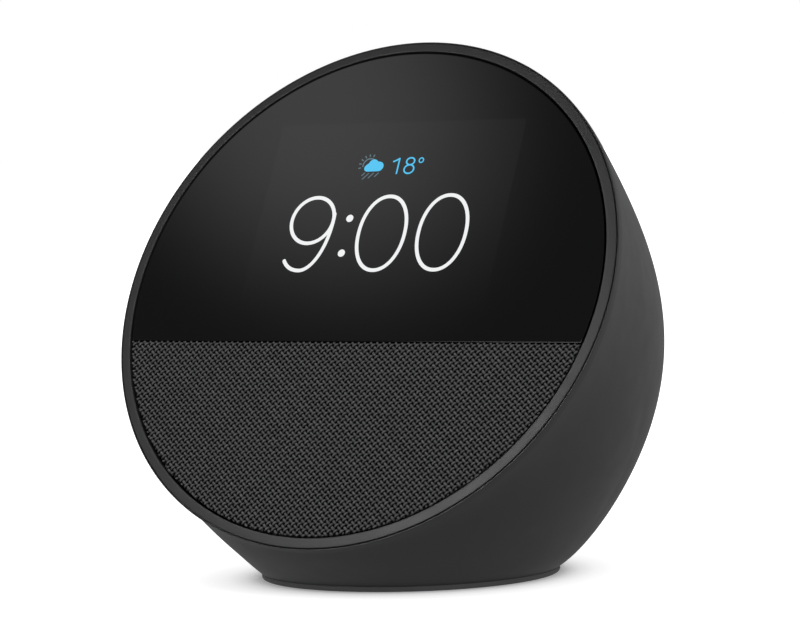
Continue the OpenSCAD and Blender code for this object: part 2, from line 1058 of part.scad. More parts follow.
module dc_jack() {
    color([0.05, 0.05, 0.06])
        translate([0, 0, inlet_z])
            difference() {
                union() {
                    slab(9, [jack_back_y, inlet_floor_y - 2], [shelf_z + power_t - inlet_z, 5.5]);
                    translate([0, inlet_floor_y - 2 - eps, 0])
                        rotate([-90, 0, 0])
                            cylinder(r = 3.4, h = 2 + eps);
                }
                translate([0, inlet_floor_y - 9, 0])
                    rotate([-90, 0, 0])
                        cylinder(r = 2, h = 12);
            }
    color([0.8, 0.78, 0.7])
        translate([0, jack_back_y + 2, inlet_z])
            rotate([-90, 0, 0])
                cylinder(r = 0.85, h = inlet_floor_y - jack_back_y - 3);
}

module power_board() {
    color(board_green)
        difference() {
            slab(27, [22, 38], [shelf_z, shelf_z + power_t]);
            mirror_x()
                translate(power_screw_spot)
                    span(1, shelf_z - 1, shelf_z + 3);
        }
    color([0.85, 0.83, 0.75])
        slab(7, [22.5, 26.5], [shelf_z + power_t, shelf_z + power_t + 4]);
}

module power_board_screws() {
    color(steel)
        mirror_x()
            translate(power_screw_spot + [0, 0, shelf_z + power_t])
                screw(0.75, 4, 1.6, 1);
}

module power_leads() {
    color([0.1, 0.1, 0.1])
        for (x = [-1, 1])
            wire([
                [x * 0.8, 24.5, shelf_z + power_t + 4.6],
                [x * 0.8 - 17, 6, 42],
                [x * 0.8 - 19.5, -4.4, 49.2]
            ], 0.6);
}

// ---- Base ---------------------------------------------------------------------------------

module ballast_weight() {
    color([0.45, 0.46, 0.48])
        difference() {
            intersection() {
                span(ballast_r, base_plate_top, base_plate_top + ballast_h);
                slab(2 * ballast_r, [ballast_front_y, ballast_r],
                    [base_plate_top, base_plate_top + ballast_h]);
            }
            mirror_x()
                translate(ballast_screw_spot)
                    span(1.3, 0, base_plate_top + 6);
        }
}

module ballast_screws() {
    color(steel)
        mirror_x()
            translate(ballast_screw_spot + [0, 0, foot_h + head_pocket])
                mirror([0, 0, 1])
                    screw(1.2, 6, 2.4, 1.1);
}

module base_plate() {
    color(black_plastic)
        difference() {
            span(base_plate_r, foot_h, base_plate_top);
            for (a = [45:90:315])
                at_polar([base_screw_r, a]) {
                    span(1.15, 0, base_plate_top + 1);
                    span(2.1, 0, foot_h + head_pocket);
                }
            mirror_x()
                translate(ballast_screw_spot) {
                    span(1.3, 0, base_plate_top + 1);
                    span(2.6, 0, foot_h + head_pocket);
                }
        }
}

module base_screws() {
    color(steel)
        for (a = [45:90:315])
            at_polar([base_screw_r, a])
                translate([0, 0, foot_h + head_pocket])
                    mirror([0, 0, 1])
                        screw(1, 3.2, 1.9, 1.1);
}

module foot_pad() {
    edge = 0.5;
    color([0.25, 0.25, 0.26])
        rotate_extrude($fn = 128)
            polygon([
                [0, 0],
                [foot_r - edge, 0],
                [foot_r, edge],
                [foot_r, foot_h],
                [0, foot_h]
            ]);
}

rear_housing();
front_bezel();
cover_glass();
speaker_cloth();
grille_plate();
mid_frame();
lcd_panel();
backlight_unit();
display_flex();
light_sensor();
frame_screws();
speaker_gasket();
speaker_basket();
speaker_surround();
speaker_cone();
dust_cap();
voice_coil();
speaker_spider();
speaker_yoke();
speaker_magnet();
pole_plate();
speaker_chamber();
chamber_screws();
speaker_leads();
volume_down_button();
mic_mute_button();
volume_up_button();
volume_down_dome();
mic_mute_dome();
volume_up_dome();
tact_switches();
button_board();
button_board_screws();
button_flex();
microphones();
mic_gaskets();
mic_mesh();
main_board();
board_connectors();
shield_cans();
thermal_pad();
heat_sink();
board_screws();
antenna_left();
antenna_right();
antenna_leads();
dc_jack();
power_board();
power_leads();
power_board_screws();
ballast_weight();
ballast_screws();
base_plate();
base_screws();
foot_pad();
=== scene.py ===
import math
import random

import bmesh
import bpy
import numpy as np
from mathutils import Matrix, Vector


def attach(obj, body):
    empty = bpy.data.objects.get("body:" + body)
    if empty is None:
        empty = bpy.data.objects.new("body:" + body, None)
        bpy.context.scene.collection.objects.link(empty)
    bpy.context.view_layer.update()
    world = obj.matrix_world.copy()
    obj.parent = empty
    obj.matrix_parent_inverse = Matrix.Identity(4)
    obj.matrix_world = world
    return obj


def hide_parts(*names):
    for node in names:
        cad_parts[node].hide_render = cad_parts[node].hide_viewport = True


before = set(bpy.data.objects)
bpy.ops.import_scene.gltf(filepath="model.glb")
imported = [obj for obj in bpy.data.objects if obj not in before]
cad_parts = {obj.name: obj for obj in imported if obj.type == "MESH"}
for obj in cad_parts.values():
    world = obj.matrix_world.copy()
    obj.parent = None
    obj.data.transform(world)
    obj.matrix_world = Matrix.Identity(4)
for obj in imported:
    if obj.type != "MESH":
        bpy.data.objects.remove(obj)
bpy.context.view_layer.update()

MM = 0.001

# Body shape, in millimetres, as in part.scad
FACE_R = 56.5
LEAN = math.radians(28.3)
FACE_Y, FACE_Z = -16.4, 59.45
BEZEL_IN_R = 54.1
BEZEL_RISE = 0.35
INSERT_R = 53.6
FRONT_W = 0.30
# Height of the line between glass and cloth, and half the gap between them
SPLIT_V = -11.8
SPLIT_GAP = 0.1
RIM_W = -1.9
LIP_TOP_W = -0.15
RING_R = 56.05
RING_GAP = 0.2
RING_T = 0.6
SKIRT_R = 55.6
WALL = 2.2
FOOT_R, FOOT_H = 30.7, 1.15
WAIST = 0.121
CHIN_FULLNESS = 0.5
DOME_CONTROLS = [(69.6, 71.6), (71.9, 46.7), (51.1, 10.5)]
CROWN_T = 0.05
BUTTON_PITCH = 16.0
BUTTON_R, BUTTON_GAP = 4.6, 0.3
MIC_X, MIC_R = 8.0, 0.6
INLET_R, INLET_Z, INLET_FLOOR_Y = 4.6, 24.0, 42.0
JACK_HOLE_R = 3.6
GLASS_T = 1.1
# Half the width and height of the LCD's lit area
SCREEN_HALF_W, SCREEN_HALF_H = 28.8, 21.6

SIN, COS = math.sin(LEAN), math.cos(LEAN)


# ---- Frames ---------------------------------------------------------------------------------

def placed(x, y, z, origin):
    """Matrix in metres from three axes and an origin in millimetres."""
    m = Matrix((x, y, z)).transposed().to_4x4()
    m.translation = Vector(origin) * MM
    return m


FACE = placed((1, 0, 0), (0, SIN, COS), (0, -COS, SIN), (0, FACE_Y, FACE_Z))


def bezier(points, t):
    """Point at t along the Bezier curve with these control points."""
    points = [np.array(p, float) for p in points]
    while len(points) > 1:
        points = [a + (b - a) * t for a, b in zip(points, points[1:])]
    return points[0]


# The housing's outline in the middle plane, as (y, z): over the back, and under the chin
DOME = [(FACE_Y + FACE_R * SIN - RIM_W * COS, FACE_Z + FACE_R * COS + RIM_W * SIN)]
DOME += DOME_CONTROLS + [(FOOT_R, FOOT_H)]
CHIN = [(FACE_Y - FACE_R * SIN - RIM_W * COS, FACE_Z - FACE_R * COS + RIM_W * SIN), (-FOOT_R, FOOT_H)]

crown_at = bezier(DOME, CROWN_T)
ahead = bezier(DOME, CROWN_T + 0.01) - bezier(DOME, CROWN_T - 0.01)
TILT = math.atan2(-ahead[1], ahead[0])
CROWN = placed(
    (1, 0, 0),
    (0, math.cos(TILT), -math.sin(TILT)),
    (0, math.sin(TILT), math.cos(TILT)),
    (0, crown_at[0], crown_at[1]),
)


# ---- Materials ------------------------------------------------------------------------------

def new_material(name, colour, roughness, metallic=0.0, specular=0.5, coat=0.0, coat_roughness=0.05):
    m = bpy.data.materials.new(name)
    m.use_nodes = True
    shader = m.node_tree.nodes["Principled BSDF"]
    shader.inputs["Base Color"].default_value = (*colour, 1)
    shader.inputs["Roughness"].default_value = roughness
    shader.inputs["Metallic"].default_value = metallic
    shader.inputs["Specular IOR Level"].default_value = specular
    shader.inputs["Coat Weight"].default_value = coat
    shader.inputs["Coat Roughness"].default_value = coat_roughness
    return m


def node(m, kind, **values):
    n = m.node_tree.nodes.new(kind)
    for key, value in values.items():
        if hasattr(n, key):
            setattr(n, key, value)
        else:
            n.inputs[key.replace("_", " ")].default_value = value
    return n


def link(m, a, b):
    m.node_tree.links.new(a, b)


def noise_texture(m, scale, detail=2.0, stretch=None):
    """Noise in the piece's own coordinates, in features per metre."""
    place = node(m, "ShaderNodeTexCoord").outputs["Object"]
    if stretch:
        mapping = node(m, "ShaderNodeMapping")
        mapping.inputs["Scale"].default_value = stretch
        link(m, place, mapping.inputs["Vector"])
        place = mapping.outputs["Vector"]
    noise = node(m, "ShaderNodeTexNoise", Scale=scale, Detail=detail)
    link(m, place, noise.inputs["Vector"])
    return noise.outputs["Fac"]


def ranged(m, value, low, high):
    r = node(m, "ShaderNodeMapRange")
    r.inputs["To Min"].default_value = low
    r.inputs["To Max"].default_value = high
    link(m, value, r.inputs["Value"])
    return r.outputs["Result"]


# Sockets of the colour mix node: its factor, its two colours and its result
MIX_FACTOR, MIX_A, MIX_B, MIX_RESULT = 0, 6, 7, 2


def colour_mix(m, first, second):
    mix = node(m, "ShaderNodeMix", data_type="RGBA")
    mix.inputs[MIX_A].default_value = (*first, 1)
    mix.inputs[MIX_B].default_value = (*second, 1)
    return mix


def vary_colour(m, value, dark, light):
    mix = colour_mix(m, dark, light)
    link(m, value, mix.inputs[MIX_FACTOR])
    link(m, mix.outputs[MIX_RESULT], m.node_tree.nodes["Principled BSDF"].inputs["Base Color"])


def vary_roughness(m, value, low, high):
    link(m, ranged(m, value, low, high), m.node_tree.nodes["Principled BSDF"].inputs["Roughness"])


def bumped(m, value, strength, distance):
    b = node(m, "ShaderNodeBump", Strength=strength, Distance=distance)
    link(m, value, b.inputs["Height"])
    link(m, b.outputs["Normal"], m.node_tree.nodes["Principled BSDF"].inputs["Normal"])


def moulded(name, colour, roughness=0.5, grain=2600.0, bump=0.25, spread=0.12, specular=0.5):
    """Moulded plastic: a fine eroded texture, faint colour drift and uneven gloss."""
    m = new_material(name, colour, roughness, specular=specular)
    dark = tuple(c * (1 - spread) for c in colour)
    light = tuple(c * (1 + spread) for c in colour)
    vary_colour(m, noise_texture(m, 60, 3), dark, light)
    vary_roughness(m, noise_texture(m, 190, 4), roughness - 0.06, roughness + 0.06)
    bumped(m, noise_texture(m, grain, 3), bump, 0.00002)
    return m


def metal(name, colour, roughness=0.35, stretch=(1, 1, 14)):
    m = new_material(name, colour, roughness, metallic=1.0)
    vary_colour(m, noise_texture(m, 220, 4, stretch), tuple(c * 0.8 for c in colour), colour)
    vary_roughness(m, noise_texture(m, 700, 3, stretch), roughness - 0.1, roughness + 0.12)
    bumped(m, noise_texture(m, 1800, 2, stretch), 0.15, 0.00001)
    return m


def soft(name, colour, roughness=0.7):
    m = new_material(name, colour, roughness, specular=0.3)
    vary_colour(m, noise_texture(m, 120, 4), tuple(c * 0.85 for c in colour), tuple(c * 1.1 for c in colour))
    vary_roughness(m, noise_texture(m, 500, 3), roughness - 0.08, roughness + 0.08)
    bumped(m, noise_texture(m, 3200, 2), 0.3, 0.00002)
    return m


def board(name, colour):
    """Solder mask over copper: tracks show as slightly lighter lines."""
    m = new_material(name, colour, 0.32, specular=0.5)
    tracks = node(m, "ShaderNodeTexVoronoi", feature="DISTANCE_TO_EDGE", distance="MANHATTAN")
    tracks.inputs["Scale"].default_value = 420
    link(m, node(m, "ShaderNodeTexCoord").outputs["Object"], tracks.inputs["Vector"])
    ramp = node(m, "ShaderNodeMapRange")
    ramp.inputs["From Max"].default_value = 0.12
    link(m, tracks.outputs["Distance"], ramp.inputs["Value"])
    vary_colour(m, ramp.outputs["Result"], tuple(min(1, c * 1.7 + 0.01) for c in colour), colour)
    vary_roughness(m, noise_texture(m, 300, 3), 0.25, 0.42)
    return m


CHARCOAL = (0.0425, 0.0425, 0.0445)
housing_mat = moulded("housing_charcoal", CHARCOAL, 0.48, 3000, 0.22, 0.05)
bezel_mat = moulded("bezel_graphite", (0.033, 0.033, 0.034), 0.48, 3400, 0.2, 0.05)
button_mat = moulded("button_charcoal", (0.032, 0.032, 0.034), 0.45, 3400, 0.2, 0.05)
black_mat = moulded("black_plastic", (0.008, 0.008, 0.009), 0.45, 2200, 0.3, 0.2)
rubber_mat = soft("foot_rubber", (0.095, 0.095, 0.098), 0.72)
jack_mat = moulded("jack_black", (0.012, 0.012, 0.013), 0.3, 1800, 0.1, 0.2)
steel_mat = metal("plated_steel", (0.62, 0.62, 0.64))
ballast_mat = metal("raw_steel", (0.32, 0.32, 0.33), 0.45, (1, 14, 1))
aluminium_mat = metal("extruded_aluminium", (0.75, 0.76, 0.78), 0.3)
copper_mat = metal("enamelled_copper", (0.72, 0.33, 0.14), 0.3, (1, 1, 60))
silicone_mat = soft("silicone_grey", (0.33, 0.34, 0.36))
surround_mat = soft("surround_rubber", (0.012, 0.012, 0.012), 0.55)
cone_mat = soft("cone_pulp", (0.02, 0.02, 0.022), 0.75)
spider_mat = soft("spider_cloth", (0.50, 0.30, 0.08), 0.8)
mesh_mat = soft("microphone_mesh", (0.05, 0.05, 0.05), 0.7)
wire_mat = soft("wire_black", (0.015, 0.015, 0.015), 0.5)
red_wire_mat = soft("wire_red", (0.35, 0.02, 0.02), 0.5)
nylon_mat = moulded("connector_ivory", (0.66, 0.62, 0.5), 0.45, 1500, 0.2, 0.08)
flex_mat = moulded("flex_amber", (0.42, 0.16, 0.02), 0.35, 1200, 0.1, 0.15)
antenna_mat = board("antenna_board", (0.02, 0.06, 0.16))
board_mat = board("circuit_board", (0.008, 0.06, 0.03))
package_mat = moulded("small_package", (0.10, 0.10, 0.11), 0.35, 1500, 0.2, 0.1)
lcd_mat = moulded("lcd_black", (0.01, 0.01, 0.013), 0.12, 900, 0.02, 0.1)
pad_mat = soft("thermal_pad", (0.45, 0.5, 0.62), 0.8)


# Middle of the LCD's lit area as drawn on the glass's face, a little off its place in the CAD
WINDOW_CENTRE = (0.45, 16.1)
# Half the width of the window's soft edge, and the heights on the face over which it fades in
WINDOW_BLUR = 0.12
WINDOW_FADE = (-6.0, 22.0)


def glass_material():
    """Black-printed cover with the lit panel showing as a slightly lighter window."""
    m = new_material("cover_black", (0.0045, 0.0045, 0.005), 0.045, specular=0.5)
    place = node(m, "ShaderNodeTexCoord").outputs["Object"]
    split = node(m, "ShaderNodeSeparateXYZ")
    link(m, place, split.inputs["Vector"])

    def inside(value, centre, half):
        """1 within half of the centre and 0 outside, over a narrow soft edge."""
        off = node(m, "ShaderNodeMath", operation="SUBTRACT")
        off.inputs[1].default_value = centre * MM
        link(m, value, off.inputs[0])
        size = node(m, "ShaderNodeMath", operation="ABSOLUTE")
        link(m, off.outputs[0], size.inputs[0])
        edge = node(m, "ShaderNodeMapRange")
        edge.inputs["From Min"].default_value = (half + WINDOW_BLUR) * MM
        edge.inputs["From Max"].default_value = (half - WINDOW_BLUR) * MM
        link(m, size.outputs[0], edge.inputs["Value"])
        return edge.outputs["Result"]

    window = node(m, "ShaderNodeMath", operation="MULTIPLY")
    link(m, inside(split.outputs["X"], WINDOW_CENTRE[0], SCREEN_HALF_W), window.inputs[0])
    link(m, inside(split.outputs["Y"], WINDOW_CENTRE[1], SCREEN_HALF_H), window.inputs[1])
    fade = node(m, "ShaderNodeMapRange")
    fade.inputs["From Min"].default_value = WINDOW_FADE[0] * MM
    fade.inputs["From Max"].default_value = WINDOW_FADE[1] * MM
    link(m, split.outputs["Y"], fade.inputs["Value"])
    faded = node(m, "ShaderNodeMath", operation="MULTIPLY")
    link(m, window.outputs[0], faded.inputs[0])
    link(m, fade.outputs["Result"], faded.inputs[1])
    vary_colour(m, faded.outputs[0], (0.0042, 0.0042, 0.0045), (0.0108, 0.0108, 0.0114))
    bumped(m, noise_texture(m, 35, 1), 0.02, 0.00002)
    return m


def glow_material(name, colour, strength):
    m = new_material(name, (0.0, 0.0, 0.0), 0.05)
    shader = m.node_tree.nodes["Principled BSDF"]
    shader.inputs["Emission Strength"].default_value = strength
    unevenness = colour_mix(m, tuple(c * 0.97 for c in colour), colour)
    link(m, noise_texture(m, 900, 2), unevenness.inputs[MIX_FACTOR])
    link(m, unevenness.outputs[MIX_RESULT], shader.inputs["Emission Color"])
    return m


# Yarn of the speaker cloth: half its thickness, how far it swings in and out, and its middle depth
THREAD_T, THREAD_SWING = 0.12, 0.20
THREAD_W = FRONT_W - 0.02 - THREAD_T - THREAD_SWING


def thread_material():
    """Spun yarn: fine fibres and uneven dye, with painted shade: darker where it lies deep in the weave and
    paler where it rises.
    """
    m = new_material("cloth_yarn", (0.08, 0.08, 0.083), 0.75, specular=0.2)
    shader = m.node_tree.nodes["Principled BSDF"]
    shader.inputs["Sheen Weight"].default_value = 0.1
    shader.inputs["Sheen Roughness"].default_value = 0.4
    split = node(m, "ShaderNodeSeparateXYZ")
    link(m, node(m, "ShaderNodeTexCoord").outputs["Object"], split.inputs["Vector"])
    # Painted shade and highlight: the yarn's colour darkens where it lies low and lightens where it stands
    # high in the weave
    height_shade = node(m, "ShaderNodeMapRange", interpolation_type="SMOOTHSTEP")
    height_shade.inputs["From Min"].default_value = (THREAD_W - THREAD_SWING / 2) * MM
    height_shade.inputs["From Max"].default_value = (THREAD_W + THREAD_SWING + THREAD_T) * MM
    link(m, split.outputs["Z"], height_shade.inputs["Value"])
    painted_shade_and_dye = node(m, "ShaderNodeMath", operation="MULTIPLY")
    link(m, height_shade.outputs["Result"], painted_shade_and_dye.inputs[0])
    link(m, ranged(m, noise_texture(m, 700, 4), 0.35, 1.3), painted_shade_and_dye.inputs[1])
    vary_colour(m, painted_shade_and_dye.outputs[0], (0.014, 0.014, 0.015), (0.175, 0.175, 0.180))
    vary_roughness(m, noise_texture(m, 900, 3), 0.6, 0.85)
    bumped(m, noise_texture(m, 9000, 3), 0.5, 0.00003)
    return m


glass_mat = glass_material()
white_glow = glow_material("screen_white", (0.93, 0.94, 0.95), 0.95)
cyan_glow = glow_material("screen_cyan", (0.075, 0.57, 0.93), 0.95)
dim_glow = glow_material("screen_dim", (0.10, 0.17, 0.20), 0.95)
yarn_mat = thread_material()
backing_mat = soft("cloth_backing", (0.006, 0.006, 0.006), 0.9)


# ---- Mesh helpers ---------------------------------------------------------------------------

def piece(name, verts, faces, material, matrix=Matrix(), body="body", smooth=40.0):
    """A mesh piece from vertices in millimetres, placed by matrix, riding on a body."""
    mesh = bpy.data.meshes.new(name)
    mesh.from_pydata([tuple(float(c) * MM for c in v) for v in verts], [], faces)
    mesh.validate()
    bm = bmesh.new()
    bm.from_mesh(mesh)
    bmesh.ops.recalc_face_normals(bm, faces=bm.faces)
    bm.to_mesh(mesh)
    bm.free()
    obj = bpy.data.objects.new(name, mesh)
    bpy.context.scene.collection.objects.link(obj)
    obj.matrix_world = matrix
    mesh.materials.append(material)
    shade(obj, smooth)
    if body:
        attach(obj, body)
    return obj


def shade(obj, angle=40.0):
    mesh = obj.data
    mesh.polygons.foreach_set("use_smooth", [True] * len(mesh.polygons))
    mesh.set_sharp_from_angle(angle=math.radians(angle))
    mesh.update()


def revolve(profile, steps=256):
    """Closed solid from a closed profile of (radius, height) pairs round the Z axis."""
    verts, faces = [], []
    n = len(profile)
    for i in range(steps):
        a = 2 * math.pi * i / steps
        verts += [(r * math.cos(a), r * math.sin(a), h) for r, h in profile]
    for i in range(steps):
        for j in range(n):
            a, b = i * n + j, i * n + (j + 1) % n
            c, d = ((i + 1) % steps) * n + (j + 1) % n, ((i + 1) % steps) * n + j
            faces.append((a, d, c, b))
    return verts, faces


def lathe(profile, steps=256):
    """Solid of revolution whose profile starts and ends on the axis."""
    verts, faces = [(0, 0, profile[0][1]), (0, 0, profile[-1][1])], []
    inner = profile[1:-1]
    n = len(inner)
    for i in range(steps):
        a = 2 * math.pi * i / steps
        verts += [(r * math.cos(a), r * math.sin(a), h) for r, h in inner]
    for i in range(steps):
        k, m = 2 + i * n, 2 + ((i + 1) % steps) * n
        faces.append((0, k, m))
        faces.append((1, m + n - 1, k + n - 1))
        for j in range(n - 1):
            faces.append((k + j, k + j + 1, m + j + 1, m + j))
    return verts, faces


def arc(cx, cy, r, start, end, steps=6):
    return [
        (cx + r * math.cos(math.radians(a)), cy + r * math.sin(math.radians(a)))
        for a in np.linspace(start, end, steps + 1)
    ]


def tool_cylinder(name, radius, low, high, matrix, steps=96):
    """A cutting cylinder along its own Z, in millimetres."""
    verts, faces = [], []
    for i in range(steps):
        a = 2 * math.pi * i / steps
        x, y = radius * math.cos(a), radius * math.sin(a)
        verts += [(x, y, low), (x, y, high)]
    for i in range(steps):
        k, m = 2 * i, 2 * ((i + 1) % steps)
        faces.append((k, m, m + 1, k + 1))
    faces.append([2 * i for i in range(steps)][::-1])
    faces.append([2 * i + 1 for i in range(steps)])
    mesh = bpy.data.meshes.new(name)
    mesh.from_pydata([tuple(c * MM for c in v) for v in verts], [], faces)
    obj = bpy.data.objects.new(name, mesh)
    bpy.context.scene.collection.objects.link(obj)
    obj.matrix_world = matrix
    return obj


def boolean(obj, tools, operation="DIFFERENCE"):
    """Applies one boolean for each tool and removes the tools."""
    for tool in tools:
        mod = obj.modifiers.new("cut", "BOOLEAN")
        mod.operation = operation
        mod.solver = "EXACT"
        mod.object = tool
    depsgraph = bpy.context.evaluated_depsgraph_get()
    mesh = bpy.data.meshes.new_from_object(obj.evaluated_get(depsgraph))
    old = obj.data
    obj.modifiers.clear()
    obj.data = mesh
    bpy.data.meshes.remove(old)
    for tool in tools:
        bpy.data.objects.remove(tool)


# ---- Camera ---------------------------------------------------------------------------------

def make_camera():
    azimuth, elevation, roll = math.radians(30.3243), math.radians(3.0381), math.radians(-1.6473)
    distance, across, upward = 742.2, 7.66, -6.23
    back = Vector((
        math.sin(azimuth) * math.cos(elevation),
        -math.cos(azimuth) * math.cos(elevation),
        math.sin(elevation),
    ))
    right = Vector((math.cos(azimuth), math.sin(azimuth), 0))
    up = back.cross(right)
    r = right * math.cos(roll) + up * math.sin(roll)
    u = up * math.cos(roll) - right * math.sin(roll)
    centre = Vector((0, FACE_Y, FACE_Z))
    data = bpy.data.cameras.new("camera")
    data.sensor_width = 36
    data.lens = 165.9
    data.clip_start, data.clip_end = 0.05, 50
    cam = bpy.data.objects.new("camera", data)
    bpy.context.scene.collection.objects.link(cam)
    cam.matrix_world = placed(r, u, back, centre + back * distance + r * across + u * upward)
    bpy.context.scene.camera = cam


make_camera()


# ---- Housing --------------------------------------------------------------------------------

def section(t, inset, angles):
    """One ring of the housing's loft, at t from the face to the foot, drawn in by inset."""
    back, front = bezier(DOME, t), bezier(CHIN, t)
    middle, across = (back + front) / 2, back - front
    radius = np.linalg.norm(across) / 2
    across = across / (2 * radius)
    squeeze = 1 - 4 * WAIST * t * (1 - t) * (1 - CHIN_FULLNESS * np.clip(-np.sin(angles), 0, None))
    reach = (radius - inset) * np.sin(angles)
    return np.column_stack([
        (radius * squeeze - inset) * np.cos(angles),
        middle[0] + across[0] * reach,
        middle[1] + across[1] * reach,
    ])


def face_ring(radius, w, angles):
    """Points of a circle in a plane parallel to the face, at depth w."""
    across, up = radius * np.cos(angles), radius * np.sin(angles)
    return np.stack([across, FACE_Y + SIN * up - COS * w, FACE_Z + COS * up + SIN * w], 1)


def eased(points, start=-6.0, most=0.065):
    """Draws the loft's first millimetres in a little, so that they run smoothly into the lip."""
    across, up = points[:, 0], (points[:, 1] - FACE_Y) * SIN + (points[:, 2] - FACE_Z) * COS
    depth = (points[:, 2] - FACE_Z) * SIN - (points[:, 1] - FACE_Y) * COS
    near = np.clip((depth - start) / (RIM_W - start), 0, 1)
    scale = 1 - most * near ** 2 / np.maximum(np.hypot(across, up), 1)
    across, up = across * scale, up * scale
    return np.stack([across, FACE_Y + SIN * up - COS * depth, FACE_Z + COS * up + SIN * depth], 1)


def housing():
    sides, rings = 256, 110
    crowding, inner_step = 1.25, 5
    angles = np.linspace(0, 2 * math.pi, sides, endpoint=False)
    # The rings crowd toward the face
    ts = [(i / rings) ** crowding for i in range(rings + 1)]
    outer = [eased(section(t, 0, angles)) for t in ts]
    inner = [section(t, WALL, angles) for t in ts[::inner_step]]
    # From the inside out: the seat of the bezel ring, the groove and the narrow lip round it
    seat_r, groove_r, round_r = SKIRT_R + 0.1, RING_R + RING_GAP, 0.08
    lip_foot_r, lip_foot_w = FACE_R - 0.01, -0.5
    rim = [(seat_r, RIM_W), (seat_r, -RING_T - RING_GAP), (groove_r, -RING_T - RING_GAP)]
    rim += [(groove_r, LIP_TOP_W - round_r), (groove_r + round_r, LIP_TOP_W)]
    rim += arc(FACE_R - round_r, LIP_TOP_W - round_r, round_r, 90, 0, 3) + [(lip_foot_r, lip_foot_w)]
    loop = outer + inner[::-1] + [face_ring(r, w, angles) for r, w in rim]
    verts = np.vstack(loop)
    count = len(loop)
    faces = []
    for i in range(count):
        for j in range(sides):
            k = (j + 1) % sides
            a, b = i * sides + j, i * sides + k
            c, d = ((i + 1) % count) * sides + k, ((i + 1) % count) * sides + j
            faces.append((a, b, c, d))
    obj = piece("housing_shell", verts, faces, housing_mat, body=None)

    inlet = placed((1, 0, 0), (0, 0, -1), (0, 1, 0), (0, 0, INLET_Z))
    boss_end_y, clear_y = 49.0, 70
    boss = tool_cylinder("boss", INLET_R + WALL, INLET_FLOOR_Y - 2, boss_end_y, inlet)
    boolean(obj, [boss], "UNION")
    cuts = [
        tool_cylinder("well", INLET_R, INLET_FLOOR_Y, clear_y, inlet),
        tool_cylinder("jack_hole", JACK_HOLE_R, INLET_FLOOR_Y - 8, clear_y, inlet),
    ]
    # The crown's holes are cut from well inside the wall to well outside it
    inside, outside = -12, 4
    for x in (-BUTTON_PITCH, 0, BUTTON_PITCH):
        at = CROWN @ Matrix.Translation((x * MM, 0, 0))
        cuts.append(tool_cylinder("button_hole", BUTTON_R + BUTTON_GAP, inside, outside, at))
    for x in (-MIC_X, MIC_X):
        at = CROWN @ Matrix.Translation((x * MM, 0, 0))
        cuts.append(tool_cylinder("mic_hole", MIC_R, inside, outside, at, 32))
    boolean(obj, cuts)
    shade(obj, 32)
    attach(obj, "body")
    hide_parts("rear_housing")


housing()


# ---- Bezel, glass and cloth -----------------------------------------------------------------

def bezel():
    """A shallow cone that falls from the glass to the groove inside the housing's lip."""
    edge, shoulder, chamfer = 0.12, 0.6, 0.3
    slope = BEZEL_RISE / (RING_R - BEZEL_IN_R)
    profile = arc(BEZEL_IN_R + edge, BEZEL_RISE - edge, edge, 180, 90, 4)
    for r in (BEZEL_IN_R + shoulder, RING_R - shoulder):
        profile.append((r, (RING_R - r) * slope))
    profile += arc(RING_R - edge, -edge, edge, 85, 0, 4)
    profile += [(RING_R, -RING_T), (SKIRT_R, -RING_T), (SKIRT_R, RIM_W)]
    profile += [(BEZEL_IN_R + chamfer, RIM_W), (BEZEL_IN_R, RIM_W + chamfer)]
    verts, faces = revolve(profile, 320)
    obj = piece("bezel_ring", verts, faces, bezel_mat, FACE)
    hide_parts("front_bezel")


def segment_outline(radius, edge_v, above, steps=200):
    """Outline of the part of a disc above or below a chord, anticlockwise."""
    a = math.degrees(math.asin(edge_v / radius))
    start, end = (a, 180 - a) if above else (180 - a, 360 + a)
    return arc(0, 0, radius, start, end, steps)


def rounded_slab(name, radius, edge_v, above, low, high, edge, material, steps=200):
    """A disc segment with its front edge rounded over, as stacked inset outlines."""
    layers = [(0.0, low)]
    for x, y in arc(edge, 0, edge, 180, 90, 5):
        layers.append((x, high - edge + y))
    # A last ring on the flat keeps the rounded edge from bending the flat's shading
    layers.append((edge + 0.12, high))
    verts, n = [], 0
    for inset, h in layers:
        ring = segment_outline(radius - inset, edge_v + (inset if above else -inset), above, steps)
        n = len(ring)
        verts += [(x, y, h) for x, y in ring]
    faces = []
    for i in range(len(layers) - 1):
        for j in range(n):
            k = (j + 1) % n
            faces.append((i * n + j, i * n + k, (i + 1) * n + k, (i + 1) * n + j))
    faces.append(list(range(n))[::-1])
    faces.append([(len(layers) - 1) * n + j for j in range(n)])
    return piece(name, verts, faces, material, FACE, smooth=50)


def glass():
    edge = 0.06
    obj = rounded_slab("cover_panel", INSERT_R, SPLIT_V + SPLIT_GAP, True, FRONT_W - GLASS_T, FRONT_W,
                       edge, glass_mat)
    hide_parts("cover_glass")


# Distance between neighbouring threads, and their angle to the glass's lower edge, in degrees
THREAD_PITCH = 0.94
THREAD_ANGLE = 41.0


